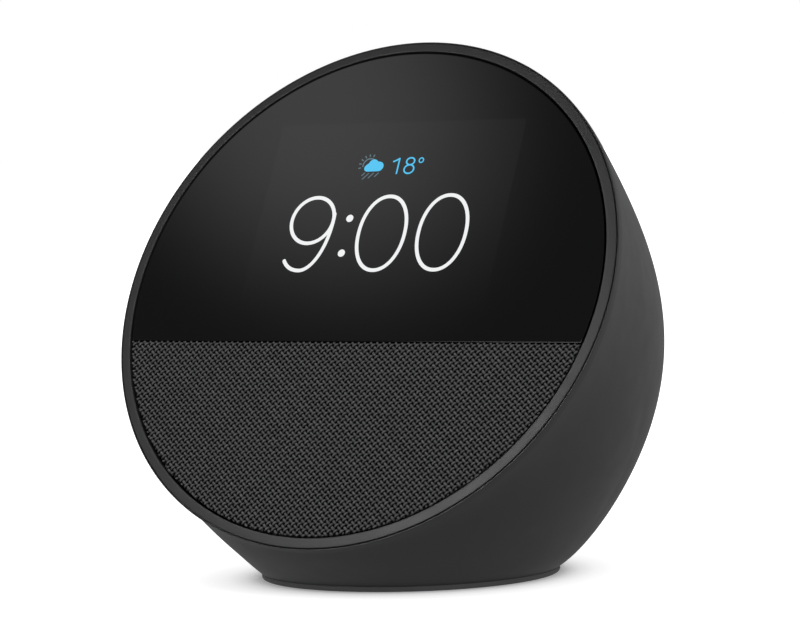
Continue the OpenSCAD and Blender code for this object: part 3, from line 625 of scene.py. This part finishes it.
def threads():
    """Plain weave on the bias: two families of threads, each passing over and under the other."""
    half_w, shortest, steps_per_crossing = 0.235, 1.0, 4
    radius, top = INSERT_R, SPLIT_V - 0.12
    # Round a thread's section; its hidden underside takes fewer corners
    cross = [(math.cos(a), math.sin(a)) for a in np.radians([0, 45, 90, 135, 180, 235, 305])]
    rng = random.Random(7)
    verts, faces = [], []
    for family in (1, -1):
        a = math.radians(THREAD_ANGLE) * family
        along = np.array([math.cos(a), math.sin(a)])
        side = np.array([-along[1], along[0]])
        # Crossings come at the other family's pitch, seen along this thread
        spacing = THREAD_PITCH / abs(math.sin(2 * a))
        limit = int(INSERT_R / THREAD_PITCH) + 1
        for i in range(-limit, limit + 1):
            off = i * THREAD_PITCH
            half = math.sqrt(max(radius * radius - off * off, 0))
            if half < shortest:
                continue
            low, high = -half, half
            # Keep the stretch below the cloth's upper edge
            at_top = (top - off * side[1]) / along[1]
            if along[1] > 0:
                high = min(high, at_top)
            else:
                low = max(low, at_top)
            if high - low < shortest:
                continue
            count = max(2, int((high - low) / (spacing / steps_per_crossing)))
            wobble = rng.uniform(-0.03, 0.03)
            thick = rng.uniform(0.92, 1.08)
            base = len(verts)
            for s in np.linspace(low, high, count + 1):
                # The index of the crossing decides which family is on top
                p = along * s + side * (off + wobble)
                turn = math.cos(math.pi * (thread_phase(p, family) + i))
                w = THREAD_W + family * THREAD_SWING * turn
                for x, y in cross:
                    q = p + side * x * half_w * thick
                    verts.append((q[0], q[1], w + y * THREAD_T * thick))
            n = len(cross)
            for k in range(count):
                for j in range(n):
                    b = base + k * n
                    faces.append((b + j, b + (j + 1) % n, b + n + (j + 1) % n, b + n + j))
            faces.append([base + j for j in range(n)][::-1])
            faces.append([base + count * n + j for j in range(n)])
    return piece("speaker_cloth_weave", verts, faces, yarn_mat, FACE, smooth=180)


def thread_phase(p, family):
    """Which thread of the other family a point lies on, as a running number."""
    a = -math.radians(THREAD_ANGLE) * family
    return float(np.dot(p, [-math.sin(a), math.cos(a)])) / THREAD_PITCH


def cloth():
    radius, top = INSERT_R - 0.05, SPLIT_V - SPLIT_GAP
    low, high, edge = FRONT_W - 0.95, FRONT_W - 0.68, 0.2
    backing = rounded_slab("speaker_cloth_backing", radius, top, False, low, high, edge, backing_mat)
    weave = threads()
    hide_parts("speaker_cloth")
    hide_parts("speaker_cloth")


bezel()
glass()
cloth()


# ---- Screen picture -------------------------------------------------------------------------

# The picture lies under the glass; drawn on its face, it moves by this much to stay in line
PICTURE_SHIFT = (0.45, -0.33)
# Depth of the middle of the picture's thin shapes, and their thickness
SCREEN_W = FRONT_W + 0.012
INK_T = 0.02


def ribbon(points, width, closed=False):
    """Flat band of even width along a line, as a list of one shape that ink() can draw."""
    p = np.array(points, float)
    n = len(p)
    if closed:
        d = np.roll(p, -1, 0) - np.roll(p, 1, 0)
    else:
        d = np.gradient(p, axis=0)
    d /= np.linalg.norm(d, axis=1)[:, None]
    side = np.column_stack([-d[:, 1], d[:, 0]]) * width / 2
    left, right = p + side, p - side
    if closed:
        return [(left, right, True)]
    caps = []
    for at, direction in ((p[-1], d[-1]), (p[0], -d[0])):
        ahead = direction * width / 2
        normal = np.array([-ahead[1], ahead[0]])
        caps.append([at + normal * math.cos(a) + ahead * math.sin(a) for a in np.linspace(0, math.pi, 9)])
    outline = list(left) + caps[0][1:-1] + list(right[::-1]) + caps[1][1:-1]
    return [(np.array(outline), None, False)]


def ink(name, shapes, material, lift=0.0):
    """Thin flat shapes lying on the glass: closed bands or filled outlines."""
    verts, faces = [], []
    low, high = SCREEN_W + lift - INK_T / 2, SCREEN_W + lift + INK_T / 2
    shift_x, shift_y = PICTURE_SHIFT
    for a, b, closed in shapes:
        base = len(verts)
        n = len(a)
        if closed:
            for ring, h in ((a, low), (b, low), (b, high), (a, high)):
                verts += [(x + shift_x, y + shift_y, h) for x, y in ring]
            for band in range(4):
                s, e = base + band * n, base + ((band + 1) % 4) * n
                faces += [(s + j, s + (j + 1) % n, e + (j + 1) % n, e + j) for j in range(n)]
        else:
            for h in (low, high):
                verts += [(x + shift_x, y + shift_y, h) for x, y in a]
            s, e = base, base + n
            faces.append([s + j for j in range(n)][::-1])
            faces.append([e + j for j in range(n)])
            faces += [(s + j, s + (j + 1) % n, e + (j + 1) % n, e + j) for j in range(n)]
    return piece(name, verts, faces, material, FACE, smooth=30)


def oval(cx, cy, rx, ry, power=2.0, steps=96):
    """Ellipse, fuller in its corners when power is above 2."""
    out = []
    for a in np.linspace(0, 2 * math.pi, steps, endpoint=False):
        c, s = math.cos(a), math.sin(a)
        out.append((
            cx + rx * math.copysign(abs(c) ** (2 / power), c),
            cy + ry * math.copysign(abs(s) ** (2 / power), s),
        ))
    return out


def curve(points, steps=24):
    return [tuple(bezier(points, t)) for t in np.linspace(0, 1, steps + 1)]


def clock():
    stroke = 0.80
    shapes = ribbon(oval(1.2, 12.69, 5.42, 8.3, 2.1), stroke, True)
    shapes += ribbon(oval(15.27, 12.74, 5.47, 8.33, 2.1), stroke, True)
    shapes += ribbon(oval(-15.93, 15.76, 4.97, 5.2), stroke, True)
    tail = arc(0, 0, 1, 8, -90, 28)
    tail = [(-16.4 + 5.45 * x, 15.6 + 11.2 * y) for x, y in tail]
    tail += curve([tail[-1], (-18.0, 4.4), (-19.5, 5.1), (-20.4, 6.6)], 14)[1:]
    shapes += ribbon(tail, stroke)
    for v in (16.12, 8.27):
        shapes.append((np.array(oval(-7.16, v, 0.82, 0.82, steps=40)), None, False))
    ink("screen_time", shapes, white_glow)


def weather():
    stroke = 0.34
    shapes = ribbon([(0.05, 28.95), (0.75, 29.25), (1.35, 29.62)], stroke)
    shapes += ribbon([(1.33, 29.6), (1.33, 27.9), (1.33, 26.2)], stroke)
    shapes += ribbon(oval(4.03, 28.93, 0.93, 0.79), stroke, True)
    shapes += ribbon(oval(4.04, 27.15, 1.12, 0.98), stroke, True)
    shapes += ribbon(oval(6.5, 29.12, 0.5, 0.52), 0.26, True)
    ink("screen_temperature", shapes, cyan_glow)

    cloud = arc(-5.78, 27.58, 0.82, 270, 130, 12)
    cloud += arc(-4.62, 28.42, 1.12, 165, 35, 14)
    cloud += arc(-3.22, 27.88, 1.08, 82, -90, 18)
    ink("screen_cloud", [(np.array(cloud), None, False)], cyan_glow, 0.004)

    sun = (-5.55, 28.2)
    marks = ribbon(arc(*sun, 1.52, 55, 188, 16), 0.3)
    for a in (74, 99, 123, 147, 171, 196):
        c, s = math.cos(math.radians(a)), math.sin(math.radians(a))
        marks += ribbon([(sun[0] + r * c, sun[1] + r * s) for r in (2.05, 2.25, 2.45)], 0.26)
    # Rain: the top of each stroke and its length
    fall_u, fall_v = -0.68, -0.73
    drops = [(-6.25, 26.45, 0.8), (-5.25, 26.35, 1.8), (-4.1, 26.4, 1.5), (-2.95, 26.4, 1.1)]
    for u, v, length in drops:
        marks += ribbon([(u + k * length * fall_u, v + k * length * fall_v) for k in (0, 0.5, 1)], 0.22)
    ink("screen_sun_and_rain", marks, dim_glow)


clock()
weather()


# ---- Foot -----------------------------------------------------------------------------------

def foot():
    """Rubber pad with a rounded lower edge and grip grooves underneath."""
    chamfer, edge = 0.15, 0.45
    profile = [(0, FOOT_H), (FOOT_R - chamfer, FOOT_H), (FOOT_R, FOOT_H - chamfer)]
    profile += arc(FOOT_R - edge, edge, edge, 0, -90, 5)
    groove_depth, groove_w, draft, ridge_w = 0.35, 0.6, 0.1, 0.8
    last_r = 24
    r = FOOT_R - 1.6
    while r > last_r:
        profile += [(r, 0), (r - draft, groove_depth)]
        profile += [(r - groove_w + draft, groove_depth), (r - groove_w, 0)]
        r -= groove_w + ridge_w
    profile += [(r, 0), (0, 0)]
    verts, faces = lathe(profile, 256)
    obj = piece("foot_ring", verts, faces, rubber_mat)
    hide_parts("foot_pad")


foot()


# ---- Materials of the carried-over CAD nodes ------------------------------------------------

node_materials = {
    "grille_plate": black_mat, "mid_frame": black_mat, "speaker_basket": black_mat,
    "speaker_chamber": black_mat, "base_plate": black_mat, "lcd_panel": lcd_mat,
    "backlight_unit": aluminium_mat, "display_flex": flex_mat, "button_flex": flex_mat,
    "light_sensor": package_mat, "microphones": package_mat, "frame_screws": steel_mat,
    "chamber_screws": steel_mat, "button_board_screws": steel_mat, "board_screws": steel_mat,
    "power_board_screws": steel_mat, "ballast_screws": steel_mat, "base_screws": steel_mat,
    "speaker_yoke": steel_mat, "pole_plate": steel_mat, "shield_cans": steel_mat,
    "tact_switches": steel_mat, "speaker_magnet": steel_mat, "speaker_gasket": silicone_mat,
    "volume_down_dome": silicone_mat, "mic_mute_dome": silicone_mat, "volume_up_dome": silicone_mat,
    "mic_gaskets": silicone_mat, "thermal_pad": pad_mat, "speaker_surround": surround_mat,
    "speaker_cone": cone_mat, "dust_cap": cone_mat, "voice_coil": copper_mat,
    "speaker_spider": spider_mat, "mic_mesh": mesh_mat, "main_board": board_mat,
    "button_board": board_mat, "power_board": board_mat, "board_connectors": nylon_mat,
    "heat_sink": aluminium_mat, "antenna_left": antenna_mat, "antenna_right": antenna_mat,
    "speaker_leads": red_wire_mat, "antenna_leads": wire_mat, "power_leads": wire_mat,
    "dc_jack": jack_mat, "ballast_weight": ballast_mat,
    "volume_down_button": button_mat, "mic_mute_button": button_mat, "volume_up_button": button_mat,
}
for name, material in node_materials.items():
    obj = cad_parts[name]
    for s in obj.material_slots:
        s.material = material


# ---- Studio ---------------------------------------------------------------------------------

# Strength of the sky light, and power of the soft box at the right
OVERHEAD, KEY = 1.5, 2.2
# Reach in metres of the floor's glow ramp, then (distance from the foot's middle in metres, glow); the glow
# dims toward the foot, painting part of the contact shadow, and the lights cast the rest
FLOOR_REACH = 0.1
FLOOR_GLOW = [(0.031, 0.21), (0.0327, 0.39), (0.0347, 0.54), (0.038, 0.67), (0.045, 0.76), (0.085, 1.0)]
# What surrounds the object: (height of the direction, brightness)
SURROUND = [(-1.0, 0.24), (-0.25, 0.36), (0.05, 0.52), (0.30, 0.17), (0.50, 0.10)]
# The card mirrored in the glass: metres across and up, turn in degrees, half axes and brightness
PANEL_SHIFT = (-0.076, 0.060)
PANEL_TURN = -15
PANEL_REACH = (0.140, 0.124)
PANEL_STRENGTH, PANEL_REST = 1.03, 0.11
# The card mirrored in the ring: brightness in the middle and radius in metres
SHEEN_STRENGTH, SHEEN_REACH = 15.0, 0.30
# Distance of both cards from the middle of the face, and half the side of the glass's card
CARD_DISTANCE, PANEL_HALF = 0.9, 0.33


def set_stops(ramp, levels):
    """Grey levels along a colour ramp, as (position, level) pairs."""
    stops = ramp.color_ramp.elements
    while len(stops) < len(levels):
        stops.new(0.5)
    for stop, (position, level) in zip(stops, levels):
        stop.position = position
        stop.color = (level, level, level, 1)


def gradient_panel(name, half, reach, strength, rest, matrix):
    """A card seen only in reflections: a soft oval glow that fades to rest at reach, in metres."""
    mesh = bpy.data.meshes.new(name)
    corners = [(-half, -half, 0), (half, -half, 0), (half, half, 0), (-half, half, 0)]
    mesh.from_pydata(corners, [], [(0, 1, 2, 3)])
    card = bpy.data.objects.new(name, mesh)
    bpy.context.scene.collection.objects.link(card)
    card.matrix_world = matrix
    card.visible_camera = False
    card.visible_shadow = False
    card.visible_diffuse = False
    m = bpy.data.materials.new(name)
    m.use_nodes = True
    tree = m.node_tree
    tree.nodes.clear()
    squash = tree.nodes.new("ShaderNodeMapping")
    squash.inputs["Scale"].default_value = (1 / reach[0], 1 / reach[1], 1)
    tree.links.new(tree.nodes.new("ShaderNodeTexCoord").outputs["Object"], squash.inputs["Vector"])
    length = tree.nodes.new("ShaderNodeVectorMath")
    length.operation = "LENGTH"
    tree.links.new(squash.outputs["Vector"], length.inputs[0])
    fall = tree.nodes.new("ShaderNodeMapRange")
    fall.interpolation_type = "SMOOTHERSTEP"
    fall.inputs["To Min"].default_value = strength
    fall.inputs["To Max"].default_value = rest
    tree.links.new(length.outputs["Value"], fall.inputs["Value"])
    glow = tree.nodes.new("ShaderNodeEmission")
    tree.links.new(fall.outputs["Result"], glow.inputs["Strength"])
    tree.links.new(glow.outputs[0], tree.nodes.new("ShaderNodeOutputMaterial").inputs["Surface"])
    mesh.materials.append(m)


def floor():
    """White floor whose own glow sinks toward the foot, which draws the soft contact shadow."""
    size = 12.0
    mesh = bpy.data.meshes.new("floor")
    corners = [(-size, -size, 0), (size, -size, 0), (size, size, 0), (-size, size, 0)]
    mesh.from_pydata(corners, [], [(0, 1, 2, 3)])
    ground = bpy.data.objects.new("floor", mesh)
    bpy.context.scene.collection.objects.link(ground)
    m = new_material("floor_white", (0.9, 0.9, 0.9), 0.9, specular=0.0)
    vary_colour(m, noise_texture(m, 3, 2), (0.895, 0.895, 0.895), (0.905, 0.905, 0.905))
    shader = m.node_tree.nodes["Principled BSDF"]
    shader.inputs["Emission Color"].default_value = (1, 1, 1, 1)
    reach = node(m, "ShaderNodeVectorMath", operation="LENGTH")
    link(m, node(m, "ShaderNodeTexCoord").outputs["Object"], reach.inputs[0])
    spread = node(m, "ShaderNodeMapRange")
    spread.inputs["From Max"].default_value = FLOOR_REACH
    # Painted contact shadow: the floor's glow sinks toward the foot, on top of the shadow the lights cast
    contact = node(m, "ShaderNodeValToRGB")
    set_stops(contact, [(distance / FLOOR_REACH, glow) for distance, glow in FLOOR_GLOW])
    link(m, reach.outputs["Value"], spread.inputs["Value"])
    link(m, spread.outputs["Result"], contact.inputs["Fac"])
    link(m, contact.outputs["Color"], shader.inputs["Emission Strength"])
    mesh.materials.append(m)
    ground.visible_diffuse = False
    ground.visible_glossy = False


def surroundings():
    """World light that depends only on the height of the direction."""
    world = bpy.data.worlds.new("studio")
    bpy.context.scene.world = world
    world.use_nodes = True
    tree = world.node_tree
    place = tree.nodes.new("ShaderNodeTexCoord")
    split = tree.nodes.new("ShaderNodeSeparateXYZ")
    height = tree.nodes.new("ShaderNodeMapRange")
    height.inputs["From Min"].default_value = -1
    ramp = tree.nodes.new("ShaderNodeValToRGB")
    tree.links.new(place.outputs["Generated"], split.inputs["Vector"])
    tree.links.new(split.outputs["Z"], height.inputs["Value"])
    tree.links.new(height.outputs["Result"], ramp.inputs["Fac"])
    tree.links.new(ramp.outputs["Color"], tree.nodes["Background"].inputs["Color"])
    set_stops(ramp, [((z + 1) / 2, level) for z, level in SURROUND])


def backdrop():
    """A white shell that only the camera sees."""
    verts, faces = lathe(arc(0, 0, 11.0, -90, 90, 32), 48)
    mesh = bpy.data.meshes.new("backdrop")
    mesh.from_pydata(verts, [], faces)
    shell = bpy.data.objects.new("backdrop", mesh)
    bpy.context.scene.collection.objects.link(shell)
    for ray in ("diffuse", "glossy", "transmission", "shadow", "volume_scatter"):
        setattr(shell, "visible_" + ray, False)
    m = bpy.data.materials.new("backdrop_white")
    m.use_nodes = True
    m.node_tree.nodes.clear()
    glow = m.node_tree.nodes.new("ShaderNodeEmission")
    link(m, glow.outputs[0], m.node_tree.nodes.new("ShaderNodeOutputMaterial").inputs["Surface"])
    mesh.materials.append(m)


def softbox(name, azimuth, elevation, distance, side, power):
    """A square light aimed at the middle of the object."""
    a, e = math.radians(azimuth), math.radians(elevation)
    direction = Vector((math.sin(a) * math.cos(e), -math.cos(a) * math.cos(e), math.sin(e)))
    data = bpy.data.lights.new(name, "AREA")
    data.shape = "RECTANGLE"
    data.size, data.size_y = side, side
    data.energy = power
    light = bpy.data.objects.new(name, data)
    bpy.context.scene.collection.objects.link(light)
    light.location = Vector((0, 0, 0.055)) + direction * distance
    light.rotation_euler = direction.to_track_quat("Z", "Y").to_euler()
    light.visible_camera = False


def sky_light():
    """A wide light from above: even over the whole floor, and kept out of the glass."""
    data = bpy.data.lights.new("overhead", "SUN")
    data.energy = OVERHEAD
    data.angle = math.radians(150)
    overhead = bpy.data.objects.new("overhead", data)
    bpy.context.scene.collection.objects.link(overhead)
    overhead.location = (0, 0, 2)
    overhead.visible_glossy = False


def reflected_card(name, toward, half, reach, strength, rest, shift=(0, 0), turn=0):
    """A card that faces the middle of the object's face from a direction."""
    toward = Vector(toward).normalized()
    across = Vector((0, 0, 1)).cross(toward).normalized()
    upward = toward.cross(across)
    centre = Vector((0, FACE_Y, FACE_Z)) * MM + toward * CARD_DISTANCE
    matrix = Matrix((across, upward, toward)).transposed().to_4x4()
    matrix.translation = centre + across * shift[0] + upward * shift[1]
    matrix = matrix @ Matrix.Rotation(math.radians(turn), 4, "Z")
    gradient_panel(name, half, reach, strength, rest, matrix)


bpy.context.scene.view_settings.view_transform = "Standard"
floor()
surroundings()
backdrop()
softbox("key_right", 75, 25, 1.6, 1.0, KEY)
sky_light()
# The middle of the glass mirrors a place up, left and in front of it
reflected_card("panel_left", (-0.504, -0.519, 0.690), PANEL_HALF, PANEL_REACH,
               PANEL_STRENGTH, PANEL_REST, PANEL_SHIFT, PANEL_TURN)
# The stretch of the ring at the lower right mirrors a place nearer the front
reflected_card("panel_front", (-0.239, -0.832, 0.500), SHEEN_REACH, (SHEEN_REACH, SHEEN_REACH),
               SHEEN_STRENGTH, 0.0)
